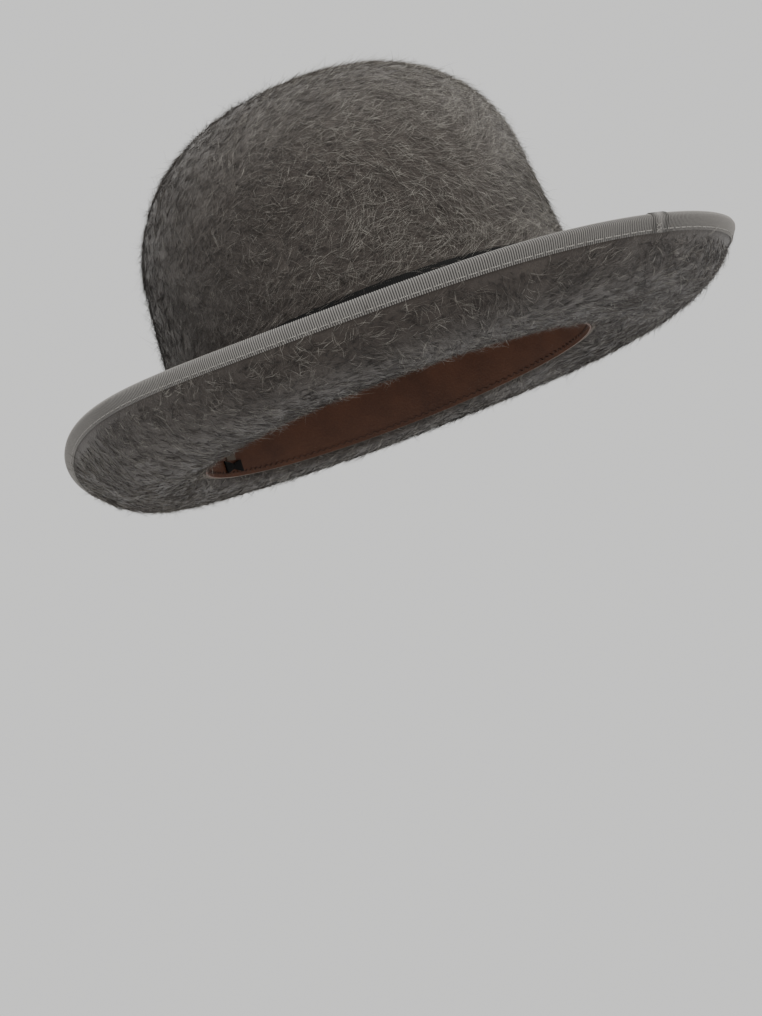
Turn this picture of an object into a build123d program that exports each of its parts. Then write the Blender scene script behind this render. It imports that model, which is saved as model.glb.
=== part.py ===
"""Bowler hat in long-haired felt: hood, bound brim, ribbon band with bow, leather sweatband, lining.

The hat stands on its brim on z = 0, its front faces -Y and the wearer's left is +X.
Every piece is first made round, about the crown's upright axis, with radii measured along the
hat's length.  Each finished piece is then narrowed across X, which gives the head's oval.
Inside a radial section x is the distance from the crown's axis and y the height above the break,
the line where the crown meets the brim.  Angles start at the front and grow towards +X.
"""
import math
import os

from build123d import *

# Driving dimensions, in millimetres and degrees.
oval_ratio = 1.17            # length of the head opening over its width
head_radius = 100.0          # half length of the felt's centre line at the break
felt_thickness = 2.8
crown_thickness = 3.0        # the blocked crown is a little thicker than the brim
crown_height = 147.5         # break to the top of the crown, outside
crown_taper = 5.0            # lean of the crown wall, each side
shoulder_radius = 66.0
top_radius = 330.0

# Brim, at five stations from the front round to the back.
brim_reach = [66.5, 62.5, 55.5, 55.0, 58.0]      # break to bound edge, measured outwards
edge_height = [17.0, 20.5, 26.0, 30.0, 14.0]     # bound edge above the break
break_rise = [-0.4, 0.5, 1.2, -0.3, -0.8]        # sweep of the break line itself
brim_slope = [-6.0, -9.0, -14.0, -13.0, -8.0]    # direction of the felt as it leaves the break
edge_slope = [52.0, 74.0, 95.0, 68.0, 46.0]      # direction of the felt at its edge
break_radius = 4.5           # bend of the felt's centre line at the break
start_pull = 0.41            # how long the brim keeps each end's direction, as a share of its chord
edge_pull = 0.42

ribbon_thickness = 0.45
sewn_gap = 0.05              # air between pieces that are sewn flat on each other
binding_width = 4.8          # visible on each side of the brim
binding_seam_inset = 1.2     # stitch line above the binding's lower edge
binding_join_angle = -21.0   # where the binding's ends lap, in front of the wearer's right
binding_lap = 9.0
thread_radius = 0.22
cord_sides = 10              # threads and the reed have this many flat faces

band_foot = 5.5              # bottom and top of the ribbon band, above the break
band_top = 36.0
bow_angle = 90.0             # the bow sits on the wearer's left
bow_length = 88.0            # from the end of one loop to the end of the other
bow_inset = 1.0              # loops are this much narrower than the band, top and bottom
loop_gap = 1.6               # air inside a folded loop
tail_length = 52.0
knot_width = 15.0

sweatband_top = 44.0
sweatband_foot = 1.0
leather_thickness = 1.0
reed_radius = 0.9
tape_thickness = 0.3
seam_tape_width = 9.0
rear_bow_width = 17.0
rear_bow_height = 6.0

lining_foot = 34.0
lining_thickness = 0.35
piping_radius = 1.0
piping_turn = 42.0           # where the tip is piped to the side, along the shoulder from the wall
ticket_width = 24.0
ticket_height = 12.0
ticket_thickness = 0.2

crown_join = 8.0             # height where the crown takes over from the bend of the brim
join_overlap = 6.0
leather_sag = 0.15           # a small piece laid on the leather stands this far off it

sections_around = 24

# Worked out from the sizes above.
tip_cover = felt_thickness / 2 + sewn_gap + ribbon_thickness
crown_centre = (brim_reach[0] - brim_reach[-1]) / 2
wall_in = (math.cos(math.radians(crown_taper)), math.sin(math.radians(crown_taper)))
os.makedirs("parts", exist_ok=True)


def around(stations, angle):
    """Even, smooth curve through stations spread evenly from the front (0) to the back (180)."""
    last = len(stations) - 1

    def share(place):
        return 0.5 if place in (0, last) else 1.0

    value = 0
    for order in range(last + 1):
        swing = sum(
            share(place) * size * math.cos(math.pi * order * place / last)
            for place, size in enumerate(stations)
        )
        value += 2 / last * share(order) * swing * math.cos(order * math.radians(angle))
    return value


def wall_point(height, depth=0):
    """Point of the crown wall at a height, moved out of the centre line by depth."""
    radius = head_radius - math.tan(math.radians(crown_taper)) * height
    return (radius + depth * wall_in[0], height + depth * wall_in[1])


def heading(degrees):
    return Vector(math.cos(math.radians(degrees)), math.sin(math.radians(degrees)))


def break_bend(angle):
    """Centre of the bend between crown and brim, and the end of its centre line."""
    slope = around(brim_slope, angle)
    corner = Vector(*wall_point(around(break_rise, angle)))
    turn = 90 + slope - crown_taper
    bend_end = corner + heading(slope) * (break_radius * math.tan(math.radians(turn / 2)))
    return bend_end + heading(slope + 90) * break_radius, bend_end


def brim_point(angle, share, depth=0):
    """Point of the brim between the bend (share 0) and the felt's edge (share 1)."""
    start = break_bend(angle)[1]
    start_way = heading(around(brim_slope, angle))
    edge_way = heading(around(edge_slope, angle))
    bound_edge = Vector(head_radius + around(brim_reach, angle), around(edge_height, angle))
    edge = bound_edge - edge_way * tip_cover
    chord = (edge - start).length
    near = start + start_way * (start_pull * chord)
    far = edge - edge_way * (edge_pull * chord)
    left = 1 - share
    point = (
        start * left**3 + near * (3 * left**2 * share) + far * (3 * left * share**2) + edge * share**3
    )
    way = (
        (near - start) * left**2 + (far - near) * (2 * left * share) + (edge - far) * share**2
    ).normalized()
    return point + Vector(-way.Y, way.X) * depth


def brim_share(angle, distance):
    """Share along the brim at a distance back from the felt's edge."""
    step = 0.002
    share = 1.0
    walked = 0.0
    here = brim_point(angle, share)
    while walked < distance:
        share -= step
        there = brim_point(angle, share)
        walked += (there - here).length
        here = there
    return share


lowest = min(
    brim_point(angle, share / 40, -felt_thickness / 2).Y for angle in range(0, 181, 3) for share in range(41)
)
break_height = -lowest
crown_axis = Axis((0, crown_centre, 0), (0, 0, 1))
ring_angles = [360 * step / sections_around for step in range(sections_around)]


def section_plane(angle):
    """Upright plane through the crown's axis: x outwards, y up, origin at the break."""
    turn = math.radians(angle)
    return Plane(
        origin=(0, crown_centre, break_height),
        x_dir=(math.sin(turn), -math.cos(turn), 0),
        z_dir=(-math.cos(turn), -math.sin(turn), 0),
    )


def steps_between(start, end, steps=6):
    return [start + (end - start) * step / steps for step in range(steps + 1)]


def finish(piece, label):
    """Names a finished piece and writes it."""
    piece.part.label = label
    export_step(piece.part, f"parts/{label}.step")


def brim_section(angle):
    """Felt of the brim and its bend, with the wall below the crown's join."""
    half = felt_thickness / 2
    centre, _ = break_bend(angle)
    wall_side = 180 + crown_taper
    brim_side = 270 + around(brim_slope, angle)
    with BuildSketch(section_plane(angle)) as sketch:
        with BuildLine():
            ends = []
            for depth in (half, -half):
                bend = [
                    centre + heading(turn) * (break_radius - depth)
                    for turn in steps_between(wall_side, brim_side, 2)
                ]
                wall = Line(wall_point(crown_join + join_overlap, depth), bend[0])
                ThreePointArc(*bend)
                felt = Spline(*[brim_point(angle, share, depth) for share in steps_between(0, 1, 12)])
                ends.append((wall @ 0, felt @ 1))
            nose = brim_point(angle, 1) + heading(around(edge_slope, angle)) * half
            ThreePointArc(ends[0][1], nose, ends[1][1])
            Line(ends[0][0], ends[1][0])
        make_face()
    return sketch.sketch



# The crown's centre line: a leaning wall, a shoulder arc and a shallow top arc, all tangent.
shoulder_line = shoulder_radius - crown_thickness / 2
top_line = top_radius - crown_thickness / 2
top_centre = Vector(0, crown_height - top_radius)
wall_way = heading(90 + crown_taper)
wall_foot = Vector(head_radius, 0) - heading(crown_taper) * shoulder_line - top_centre
wall_reach = -wall_foot.dot(wall_way) + math.sqrt(
    wall_foot.dot(wall_way) ** 2 - wall_foot.length**2 + (top_line - shoulder_line) ** 2
)
shoulder_centre = top_centre + wall_foot + wall_way * wall_reach
shoulder_end = math.degrees(
    math.atan2(shoulder_centre.Y - top_centre.Y, shoulder_centre.X)
)


def crown_line(depth, foot=None, turn_from=crown_taper, turn_to=None):
    """Draws the crown's curve at a depth off its centre line and returns its two ends."""

    def on_shoulder(turn):
        return shoulder_centre + heading(turn) * (shoulder_line + depth)

    start = on_shoulder(turn_from)
    if foot is not None:
        start = wall_point(foot, depth)
        Line(start, on_shoulder(turn_from))
    last = shoulder_end if turn_to is None else turn_to
    ThreePointArc(*[on_shoulder(turn) for turn in steps_between(turn_from, last, 2)])
    if turn_to is not None:
        return start, on_shoulder(last)
    over_top = [top_centre + heading(turn) * (top_line + depth) for turn in steps_between(last, 90, 2)]
    ThreePointArc(*over_top)
    return start, over_top[-1]


def crown_shell(outer, inner, **reach):
    """Section of a skin of the crown between two depths."""
    with BuildSketch(section_plane(90)) as sketch:
        with BuildLine():
            outer_ends = crown_line(outer, **reach)
            inner_ends = crown_line(inner, **reach)
            for outer_end, inner_end in zip(outer_ends, inner_ends):
                Line(outer_end, inner_end)
        make_face()
    return sketch.sketch


def polygon_section(angle, corners):
    with BuildSketch(section_plane(angle)) as sketch:
        with BuildLine():
            Polyline(*corners, close=True)
        make_face()
    return sketch.sketch


def turn_about_axis(section):
    """Sweeps a section right round the crown's axis."""
    revolve(section, axis=crown_axis, revolution_arc=360)


def narrow():
    """Gives the round piece being built the oval of the head."""
    scale(by=(1 / oval_ratio, 1, 1), about=(0, 0, 0))


def degrees_along(length, radius=head_radius):
    return math.degrees(length / radius)


# Felt hood: crown and brim are one piece of felt.
with BuildPart() as felt_hood:
    rings = [brim_section(angle) for angle in ring_angles]
    loft(rings + rings[:1])
    turn_about_axis(crown_shell(crown_thickness / 2, -crown_thickness / 2, foot=crown_join))
    narrow()
finish(felt_hood, "felt_hood")


# Brim binding: a ribbon folded over the felt's edge, its ends lapped at the join.
def binding_section(angle, inner, outer):
    """Folded ribbon between two distances from the felt's centre line."""
    shares = steps_between(brim_share(angle, binding_width), 1, 3)
    with BuildSketch(section_plane(angle)) as sketch:
        with BuildLine():
            feet = []
            for reach in (inner, outer):
                upper = Spline(*[brim_point(angle, share, reach) for share in shares])
                lower = Spline(*[brim_point(angle, share, -reach) for share in shares])
                nose = brim_point(angle, 1) + heading(around(edge_slope, angle)) * reach
                ThreePointArc(upper @ 1, nose, lower @ 1)
                feet.append((upper @ 0, lower @ 0))
            for inner_foot, outer_foot in zip(*feet):
                Line(inner_foot, outer_foot)
        make_face()
    return sketch.sketch


binding_inner = felt_thickness / 2 + sewn_gap
binding_outer = binding_inner + ribbon_thickness
brim_span = head_radius + sum(brim_reach) / len(brim_reach)
half_lap = degrees_along(binding_lap / 2, brim_span)

with BuildPart() as brim_binding:
    rings = [binding_section(angle, binding_inner, binding_outer) for angle in ring_angles]
    loft(rings + rings[:1])
    lap_angles = steps_between(binding_join_angle - half_lap, binding_join_angle + half_lap, 2)
    loft([
        binding_section(angle, binding_outer - sewn_gap, binding_outer + ribbon_thickness)
        for angle in lap_angles
    ])
    narrow()
finish(brim_binding, "brim_binding")


# Lockstitch that holds the binding: its thread on the top of the brim and on the underside.
def thread_section(angle, point):
    with BuildSketch(section_plane(angle)) as sketch:
        with Locations(point):
            RegularPolygon(thread_radius, cord_sides)
    return sketch.sketch


thread_depth = binding_outer + sewn_gap + thread_radius
with BuildPart() as binding_stitching:
    for depth in (thread_depth, -thread_depth):
        rings = []
        for angle in ring_angles:
            share = brim_share(angle, binding_width - binding_seam_inset)
            rings.append(thread_section(angle, brim_point(angle, share, depth)))
        loft(rings + rings[:1])
    narrow()
finish(binding_stitching, "binding_stitching")


# Hand stitches that close the lap of the binding, on the underside.
def place_on_lap(along, from_edge):
    """Point on the lapped binding: along the brim from the join, and back from the edge."""
    angle = binding_join_angle + degrees_along(along, brim_span)
    depth = -(binding_outer + ribbon_thickness + thread_radius + sewn_gap)
    return section_plane(angle).from_local_coords(
        brim_point(angle, brim_share(angle, from_edge), depth)
    )


stitch_count = 4
stitch_rise = (binding_width - 2 * binding_seam_inset) / stitch_count
with BuildPart() as binding_join_stitches:
    for stitch in range(stitch_count):
        start = place_on_lap(-binding_lap / 2, binding_seam_inset + stitch * stitch_rise)
        end = place_on_lap(-binding_lap / 4, binding_seam_inset + (stitch + 0.7) * stitch_rise)
        with BuildSketch(Plane(origin=start, z_dir=end - start)):
            RegularPolygon(thread_radius, cord_sides)
        extrude(amount=(end - start).length)
    narrow()
finish(binding_join_stitches, "binding_join_stitches")


# Ribbon band round the foot of the crown.
def wall_strip(low, high, inner, outer):
    """Corners of a strip that lies along the crown's wall."""
    return [
        wall_point(low, inner), wall_point(high, inner), wall_point(high, outer), wall_point(low, outer)
    ]


band_inner = crown_thickness / 2 + sewn_gap
band_outer = band_inner + ribbon_thickness
with BuildPart() as hat_band:
    turn_about_axis(polygon_section(90, wall_strip(band_foot, band_top, band_inner, band_outer)))
    narrow()
finish(hat_band, "hat_band")

# Bow on the wearer's left: a tail, two folded loops over it and a knot wrapped round them all.
layer = ribbon_thickness + sewn_gap
tail_inner = band_outer + sewn_gap + layer
loop_inner = tail_inner + layer
loop_depth = 2 * ribbon_thickness + loop_gap
bow_low = band_foot + bow_inset
bow_high = band_top - bow_inset
loop_low = bow_low + (loop_inner + loop_depth) * wall_in[1]     # level with the knot's outer corner


def strip_along(stations, inner, outer, mode=Mode.ADD):
    """Strip of ribbon on the crown's wall through stations of angle, bottom and top."""
    loft([
        polygon_section(angle, wall_strip(low, high, inner, outer)) for angle, low, high in stations
    ], mode=mode)


tail_end = bow_angle + degrees_along(tail_length)
tail_slant = degrees_along((bow_high - bow_low) / 3)
with BuildPart() as bow_tail:
    flat_end = tail_end - tail_slant
    strip_along(
        [(angle, bow_low, bow_high) for angle in steps_between(bow_angle, flat_end, 4)],
        tail_inner, tail_inner + ribbon_thickness,
    )
    strip_along(
        [(flat_end, bow_low, bow_high), (tail_end, bow_low, bow_low + bow_inset)],
        tail_inner, tail_inner + ribbon_thickness,
    )
    narrow()
finish(bow_tail, "bow_tail")


def folded_loop(height, side):
    """Plan of a ribbon loop at a height on the crown, from the bow's middle to one side."""
    first = bow_angle - 90 + side * degrees_along(knot_width / 8)
    last = bow_angle - 90 + side * degrees_along(bow_length / 2)
    base = wall_point(height)[0] + loop_inner / wall_in[0]
    faces = [base, base + ribbon_thickness, base + loop_depth - ribbon_thickness, base + loop_depth]
    with BuildSketch(Plane((0, crown_centre, break_height + height))) as sketch:
        with BuildLine():
            for face in faces:
                CenterArc((0, 0), face, first, last - first)
            for low, high in ((faces[0], faces[3]), (faces[1], faces[2])):
                fold = last + side * degrees_along((high - low) / 2, base)
                ThreePointArc(*[
                    heading(turn) * radius
                    for radius, turn in ((low, last), ((low + high) / 2, fold), (high, last))
                ])
            for low, high in (faces[:2], faces[2:]):
                Line(heading(first) * low, heading(first) * high)
        make_face()
    return sketch.sketch


def ribbon_loop(name, side):
    with BuildPart() as loop:
        loft([folded_loop(height, side) for height in (loop_low, bow_high)], ruled=True)
        narrow()
    finish(loop, name)


ribbon_loop("bow_front_loop", -1)
ribbon_loop("bow_rear_loop", 1)

with BuildPart() as bow_knot:
    half_knot = degrees_along(knot_width / 2)
    knot_angles = steps_between(bow_angle - half_knot, bow_angle + half_knot, 2)
    knot_inner = band_outer + sewn_gap
    knot_outer = loop_inner + loop_depth + layer
    strip_along(
        [(angle, bow_low - layer, bow_high + layer) for angle in knot_angles], knot_inner, knot_outer
    )
    strip_along(
        [(angle, bow_low - sewn_gap, bow_high + sewn_gap) for angle in knot_angles],
        knot_inner + ribbon_thickness, knot_outer - ribbon_thickness, mode=Mode.SUBTRACT,
    )
    narrow()
finish(bow_knot, "bow_knot")

# Sweatband: leather that leans from the lining at its top out over the reed at its foot.
reed_depth = -(max(crown_thickness, felt_thickness) / 2 + 2 * sewn_gap + reed_radius + tape_thickness)
leather_foot = reed_depth - reed_radius - tape_thickness - 4 * sewn_gap
leather_top = -(crown_thickness / 2 + 5 * sewn_gap + lining_thickness)


def leather_point(height, depth=0):
    """Point of the leather's outer face at a height, moved towards the head by depth."""
    share = (height - sweatband_foot) / (sweatband_top - sweatband_foot)
    return wall_point(height, leather_foot + (leather_top - leather_foot) * share - depth)


def leather_strip(low, high, near, far):
    return [
        leather_point(low, near), leather_point(high, near), leather_point(high, far), leather_point(low, far)
    ]


with BuildPart() as sweatband:
    turn_about_axis(polygon_section(90, leather_strip(sweatband_foot, sweatband_top, 0, leather_thickness)))
    narrow()
finish(sweatband, "sweatband")

reed_height = sweatband_foot + reed_radius + tape_thickness
reed_centre = wall_point(reed_height, reed_depth)


def ring_section(centre, radius, hollow=0):
    """Section of a ring: a solid cord, or a hollow wrap round another ring."""
    with BuildSketch(section_plane(90)) as sketch:
        with Locations(centre):
            if hollow:
                Circle(radius)
                Circle(hollow, mode=Mode.SUBTRACT)
            else:
                RegularPolygon(radius, cord_sides)
    return sketch.sketch


with BuildPart() as sweatband_reed:
    turn_about_axis(ring_section(reed_centre, reed_radius))
    narrow()
finish(sweatband_reed, "sweatband_reed")

with BuildPart() as reed_tape:
    wrap = reed_radius + sewn_gap
    turn_about_axis(ring_section(reed_centre, wrap + tape_thickness, wrap))
    narrow()
finish(reed_tape, "reed_tape")

with BuildPart() as sweatband_stitching:
    seam = leather_point(reed_height, leather_thickness + sewn_gap + thread_radius)
    turn_about_axis(ring_section(seam, thread_radius))
    narrow()
finish(sweatband_stitching, "sweatband_stitching")


def leather_patch(stations, near, far):
    """Piece that lies along the leather through stations of angle, bottom and top."""
    loft([
        polygon_section(angle, leather_strip(low, high, near, far)) for angle, low, high in stations
    ])


rear = 180
patch_near = leather_thickness + sewn_gap
with BuildPart() as sweatband_seam_tape:
    half_tape = degrees_along(seam_tape_width / 2)
    tape_foot = reed_height + 4 * thread_radius + rear_bow_height
    leather_patch(
        [(rear + side * half_tape, tape_foot, sweatband_top) for side in (-1, 0, 1)],
        patch_near + leather_sag, patch_near + leather_sag + tape_thickness,
    )
    narrow()
finish(sweatband_seam_tape, "sweatband_seam_tape")

with BuildPart() as sweatband_bow:
    bow_foot = reed_height + 3 * thread_radius
    bow_waist = rear_bow_height / 3
    half_bow = degrees_along(rear_bow_width / 2)
    leather_patch(
        [
            (rear - half_bow, bow_foot, bow_foot + rear_bow_height),
            (rear, bow_foot + bow_waist, bow_foot + 2 * bow_waist),
            (rear + half_bow, bow_foot, bow_foot + rear_bow_height),
        ],
        patch_near + leather_sag, patch_near + leather_sag + 2 * ribbon_thickness,
    )
    narrow()
finish(sweatband_bow, "sweatband_bow")

with BuildPart() as size_ticket:
    ticket_angle = rear - degrees_along(ticket_width)
    half_ticket = degrees_along(ticket_width / 2)
    ticket_foot = 2 * reed_height + tape_thickness
    leather_patch(
        [
            (ticket_angle + side * half_ticket, ticket_foot, ticket_foot + ticket_height)
            for side in (-1, 0, 1)
        ],
        -leather_sag, -leather_sag - ticket_thickness,
    )
    narrow()
finish(size_ticket, "size_ticket")

# Lining: a side and a tip, piped together along the shoulder.
lining_outer = -crown_thickness / 2 - sewn_gap
lining_inner = lining_outer - lining_thickness
seam_turn = crown_taper + piping_turn
seam_half = math.degrees(sewn_gap / shoulder_radius)

with BuildPart() as lining_side:
    turn_about_axis(crown_shell(lining_outer, lining_inner, foot=lining_foot, turn_to=seam_turn))
    narrow()
finish(lining_side, "lining_side")

with BuildPart() as lining_tip:
    turn_about_axis(crown_shell(lining_outer, lining_inner, turn_from=seam_turn + seam_half))
    narrow()
finish(lining_tip, "lining_tip")

with BuildPart() as lining_piping:
    cord_line = shoulder_line + lining_inner - sewn_gap - piping_radius
    turn_about_axis(ring_section(shoulder_centre + heading(seam_turn) * cord_line, piping_radius))
    narrow()
finish(lining_piping, "lining_piping")
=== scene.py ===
# %% [markdown]
# # A long-haired felt hat
# The hat is one blocked piece of felt with a ribbon folded over the brim's edge, a ribbon band with a
# bow, and a leather sweatband and satin lining inside. Nearly every piece follows the head, so one idea
# makes them all: a flat grid is added, and its points are wrapped round the head along a section.

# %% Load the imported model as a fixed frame
import math

import bpy
import numpy as np
from mathutils import Matrix, Vector


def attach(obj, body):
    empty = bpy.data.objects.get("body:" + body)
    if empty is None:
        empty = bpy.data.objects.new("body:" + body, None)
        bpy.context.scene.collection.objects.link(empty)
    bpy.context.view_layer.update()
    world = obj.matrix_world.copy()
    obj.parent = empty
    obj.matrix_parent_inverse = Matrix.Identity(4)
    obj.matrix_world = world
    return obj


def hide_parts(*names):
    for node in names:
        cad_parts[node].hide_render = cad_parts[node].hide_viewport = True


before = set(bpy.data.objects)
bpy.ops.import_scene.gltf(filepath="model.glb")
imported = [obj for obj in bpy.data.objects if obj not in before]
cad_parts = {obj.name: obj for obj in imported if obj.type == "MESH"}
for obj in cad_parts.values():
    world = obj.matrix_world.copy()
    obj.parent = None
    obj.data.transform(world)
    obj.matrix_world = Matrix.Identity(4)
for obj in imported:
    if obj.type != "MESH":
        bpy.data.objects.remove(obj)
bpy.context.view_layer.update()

# %% [markdown]
# ## The hat maker's sizes
# The brim changes from front to back, so its reach, height and slopes are given at five stations and
# joined by a smooth, even curve. Sections are drawn as (radius, height) in millimetres, measured from
# where the crown breaks into the brim, and the round hat is narrowed to the oval of a head.

# %% Sizes in millimetres and degrees
mm = 0.001
oval = 1.17
head_radius, felt_thickness, crown_thickness = 100.0, 2.8, 3.0
crown_height, taper, shoulder_radius, top_radius = 147.5, math.radians(5.0), 66.0, 330.0
brim_reach = [66.5, 62.5, 55.5, 55.0, 58.0]
edge_height = [17.0, 20.5, 26.0, 30.0, 14.0]
break_rise = [-0.4, 0.5, 1.2, -0.3, -0.8]
brim_slope = [-6.0, -9.0, -14.0, -13.0, -8.0]
edge_slope = [52.0, 74.0, 95.0, 68.0, 46.0]
break_radius, start_pull, edge_pull = 4.5, 0.41, 0.42
ribbon, gap, binding_width = 0.45, 0.05, 4.8
tip_cover = felt_thickness / 2 + gap + ribbon
crown_centre = (brim_reach[0] - brim_reach[-1]) / 2


def around(stations, angle):
    """Even, smooth curve through stations spread from the front to the back."""
    last = len(stations) - 1
    ends = [0.5] + [1.0] * (last - 1) + [0.5]
    value = 0
    for order in range(last + 1):
        swing = sum(
            ends[place] * size * math.cos(math.pi * order * place / last)
            for place, size in enumerate(stations)
        )
        value = value + 2 / last * ends[order] * swing * np.cos(order * angle)
    return value


def heading(turn):
    return np.stack([np.cos(turn), np.sin(turn)], -1)


def break_bend(angle):
    """Centre of the bend between crown and brim, and where its centre line ends."""
    slope = np.radians(around(brim_slope, angle))
    rise = around(break_rise, angle)
    corner = np.stack([head_radius - math.tan(taper) * rise, rise], -1)
    reach = break_radius * np.tan((np.pi / 2 + slope - taper) / 2)
    end = corner + heading(slope) * reach[..., None]
    return end + heading(slope + np.pi / 2) * break_radius, end, slope


def brim(angle, share, depth=0.0):
    """Point of the brim from its bend (share 0) to the felt's edge (share 1)."""
    angle, share = np.broadcast_arrays(np.asarray(angle, float), np.asarray(share, float))
    _, start, slope = break_bend(angle)
    edge_way = heading(np.radians(around(edge_slope, angle)))
    bound = np.stack([head_radius + around(brim_reach, angle), around(edge_height, angle)], -1)
    edge = bound - edge_way * tip_cover
    chord = np.linalg.norm(edge - start, axis=-1)[..., None]
    near = start + heading(slope) * start_pull * chord
    far = edge - edge_way * edge_pull * chord
    share = share[..., None]
    left = 1 - share
    point = start * left**3 + near * 3 * left**2 * share + far * 3 * left * share**2 + edge * share**3
    way = (near - start) * left**2 + (far - near) * 2 * left * share + (edge - far) * share**2
    way = way / np.linalg.norm(way, axis=-1, keepdims=True)
    return point + np.stack([-way[..., 1], way[..., 0]], -1) * np.asarray(depth)[..., None]


half_turn = np.radians(np.arange(0, 181, 3))[:, None]
break_height = -brim(half_turn, np.linspace(0, 1, 41)[None], -felt_thickness / 2)[..., 1].min()
print("the crown breaks", round(break_height, 3), "mm above the floor")

# %% [markdown]
# ## From a section to the head
# The crown is a leaning wall, a shoulder arc and a shallow top arc that run into each other. A helper
# turns (angle, radius, height) into a place on the head, and a second one adds a grid and wraps it.

# %% The crown's line
shoulder_line = shoulder_radius - crown_thickness / 2
top_line = top_radius - crown_thickness / 2
top_centre = np.array([0, crown_height - top_radius])
wall_way = heading(np.array(np.pi / 2 + taper))
wall_foot = np.array([head_radius, 0]) - heading(np.array(taper)) * shoulder_line - top_centre
foot_along = wall_foot @ wall_way
shoulder_centre = top_centre + wall_foot + wall_way * (
    -foot_along + math.sqrt(foot_along**2 - wall_foot @ wall_foot + (top_line - shoulder_line) ** 2)
)
shoulder_end = math.atan2(shoulder_centre[1] - top_centre[1], shoulder_centre[0])


def wall_point(height, depth=0.0):
    height, depth = np.broadcast_arrays(np.asarray(height, float), np.asarray(depth, float))
    radius = head_radius - math.tan(taper) * height
    return np.stack([radius + depth * math.cos(taper), height + depth * math.sin(taper)], -1)


def crown_over(depth, low=None, steps=(14, 22, 26), turn_from=taper, turn_to=None):
    """The crown's line at a depth, from a height on the wall to the top or part of the way."""
    shoulder = np.linspace(turn_from, shoulder_end if turn_to is None else turn_to, steps[1])
    line = [shoulder_centre + heading(shoulder) * (shoulder_line + depth)]
    if low is not None:
        foot, wall_top = wall_point(low, depth), line[0][0]
        line.insert(0, foot + (wall_top - foot) * np.linspace(0, 1, steps[0])[:-1, None])
    if turn_to is None:
        over = np.linspace(shoulder_end, np.pi / 2, steps[2])[1:]
        line.append(top_centre + heading(over) * (top_line + depth))
    return np.concatenate(line)


def on_head(angle, section):
    """Places in metres for sections (radius, height) at angles from the front."""
    radius, height = section[..., 0], section[..., 1]
    angle = np.broadcast_to(angle, radius.shape)
    return np.stack([
        radius * np.sin(angle) / oval, crown_centre - radius * np.cos(angle), break_height + height
    ], -1) * mm


# %% A grid that is wrapped round the head
def deselect():
    if bpy.context.object and bpy.context.object.mode != "OBJECT":
        bpy.ops.object.mode_set(mode="OBJECT")
    bpy.ops.object.select_all(action="DESELECT")


def wrapped(name, places, smooth=45, even=False):
    """A grid primitive with its points moved to places[i, j]; seams and poles are merged."""
    columns, rows = places.shape[:2]
    deselect()
    bpy.ops.mesh.primitive_grid_add(x_subdivisions=columns - 1, y_subdivisions=rows - 1, size=1)
    piece = bpy.context.object
    piece.name = piece.data.name = name
    mesh = piece.data
    flat = np.empty(len(mesh.vertices) * 3)
    mesh.vertices.foreach_get("co", flat)
    flat = flat.reshape(-1, 3)
    column = np.rint((flat[:, 0] + 0.5) * (columns - 1)).astype(int)
    row = np.rint((flat[:, 1] + 0.5) * (rows - 1)).astype(int)
    mesh.vertices.foreach_set("co", places[column, row].ravel())
    # The UV map gets true lengths in metres: along the piece, and across it.
    along = np.linalg.norm(np.diff(places, axis=0), axis=-1).max(axis=1)
    across = np.linalg.norm(np.diff(places, axis=1), axis=-1).max(axis=0)
    along = np.concatenate([[0], np.cumsum(along)])
    if even:
        along = np.linspace(0, along[-1], columns)
    across = np.concatenate([[0], np.cumsum(across)])
    corner = np.empty(len(mesh.loops), int)
    mesh.loops.foreach_get("vertex_index", corner)
    cut = np.stack([along[column[corner]], across[row[corner]]], -1)
    mesh.uv_layers[0].data.foreach_set("uv", cut.ravel())
    mesh.update()
    bpy.ops.object.mode_set(mode="EDIT")
    bpy.ops.mesh.select_all(action="SELECT")
    bpy.ops.mesh.remove_doubles(threshold=2e-6)
    bpy.ops.object.mode_set(mode="OBJECT")
    bpy.ops.object.shade_smooth_by_angle(angle=math.radians(smooth))
    return piece


def closed_up(piece, thickness=None, smooth=45):
    """Gives a single layer its thickness, or caps the open ends, and turns its faces outwards."""
    deselect()
    piece.select_set(True)
    bpy.context.view_layer.objects.active = piece
    if thickness:
        wall = piece.modifiers.new("thickness", "SOLIDIFY")
        wall.thickness, wall.offset, wall.use_even_offset = thickness, 0, False
        bpy.ops.object.modifier_apply(modifier=wall.name)
    bpy.ops.object.mode_set(mode="EDIT")
    bpy.ops.mesh.select_all(action="SELECT")
    if not thickness:
        bpy.ops.mesh.fill_holes(sides=0)
    bpy.ops.mesh.normals_make_consistent(inside=False)
    bpy.ops.object.mode_set(mode="OBJECT")
    bpy.ops.object.shade_smooth_by_angle(angle=math.radians(smooth))
    return piece


def finished(piece, slot, material, *nodes):
    """Gives the piece its material, hides the CAD nodes that it stands for and hangs it on the root body. The
    slot argument is not used.
    """
    piece.data.materials.clear()
    piece.data.materials.append(material)
    if nodes:
        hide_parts(*nodes)
    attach(piece, "root")
    print(piece.name, len(piece.data.polygons), "faces")
    return piece


def half_area(piece):
    """Area of one side of a thin closed sheet, in square metres."""
    size = np.empty(len(piece.data.polygons))
    piece.data.polygons.foreach_get("area", size)
    return float(size.sum() / 2)


# %% [markdown]
# ## Materials
# Effects that several finishes share are node groups: mottling for hair and felt, woven ribs with painted
# light and shade for the ribbons, and grain for leather. A group only gives colours and heights; the shader
# stays outside.

# %% Node helpers
def new_group(name, inputs, outputs):
    group = bpy.data.node_groups.new(name, "ShaderNodeTree")
    for label, kind, value in inputs:
        socket = group.interface.new_socket(label, in_out="INPUT", socket_type=kind)
        if value is not None:
            socket.default_value = value
    for label, kind in outputs:
        group.interface.new_socket(label, in_out="OUTPUT", socket_type=kind)
    return group, group.nodes.new("NodeGroupInput"), group.nodes.new("NodeGroupOutput")


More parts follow.
